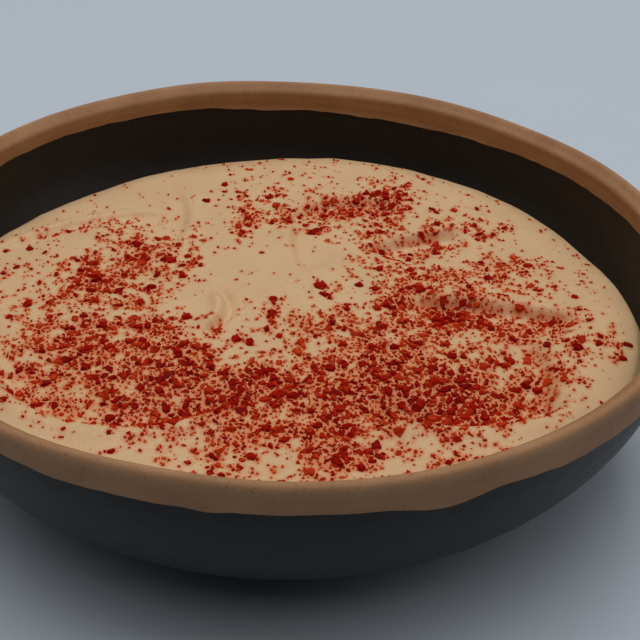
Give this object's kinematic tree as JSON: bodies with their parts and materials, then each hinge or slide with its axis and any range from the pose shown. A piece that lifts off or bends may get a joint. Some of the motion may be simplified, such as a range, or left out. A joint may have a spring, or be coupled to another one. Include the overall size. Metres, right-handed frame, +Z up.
{
  "type": "bowl of hummus with chilli flakes",
  "caption": "Round stoneware bowl, dark glaze with a bare clay rim, filled with smooth cream hummus marked by a spoon and sprinkled with red chilli flakes.",
  "frame": {"origin": "middle of the bowl's foot, on the surface it stands on", "axes": "+Z up through the middle of the bowl, -Y towards the front, where the chilli lies thickest"},
  "size_m": [0.16, 0.16, 0.046],
  "materials": {
    "stoneware": "satin",
    "hummus": "satin"
  },
  "bodies": {
    "root": {"bowl": "stoneware", "hummus": "hummus"}
  },
  "joints": []
}
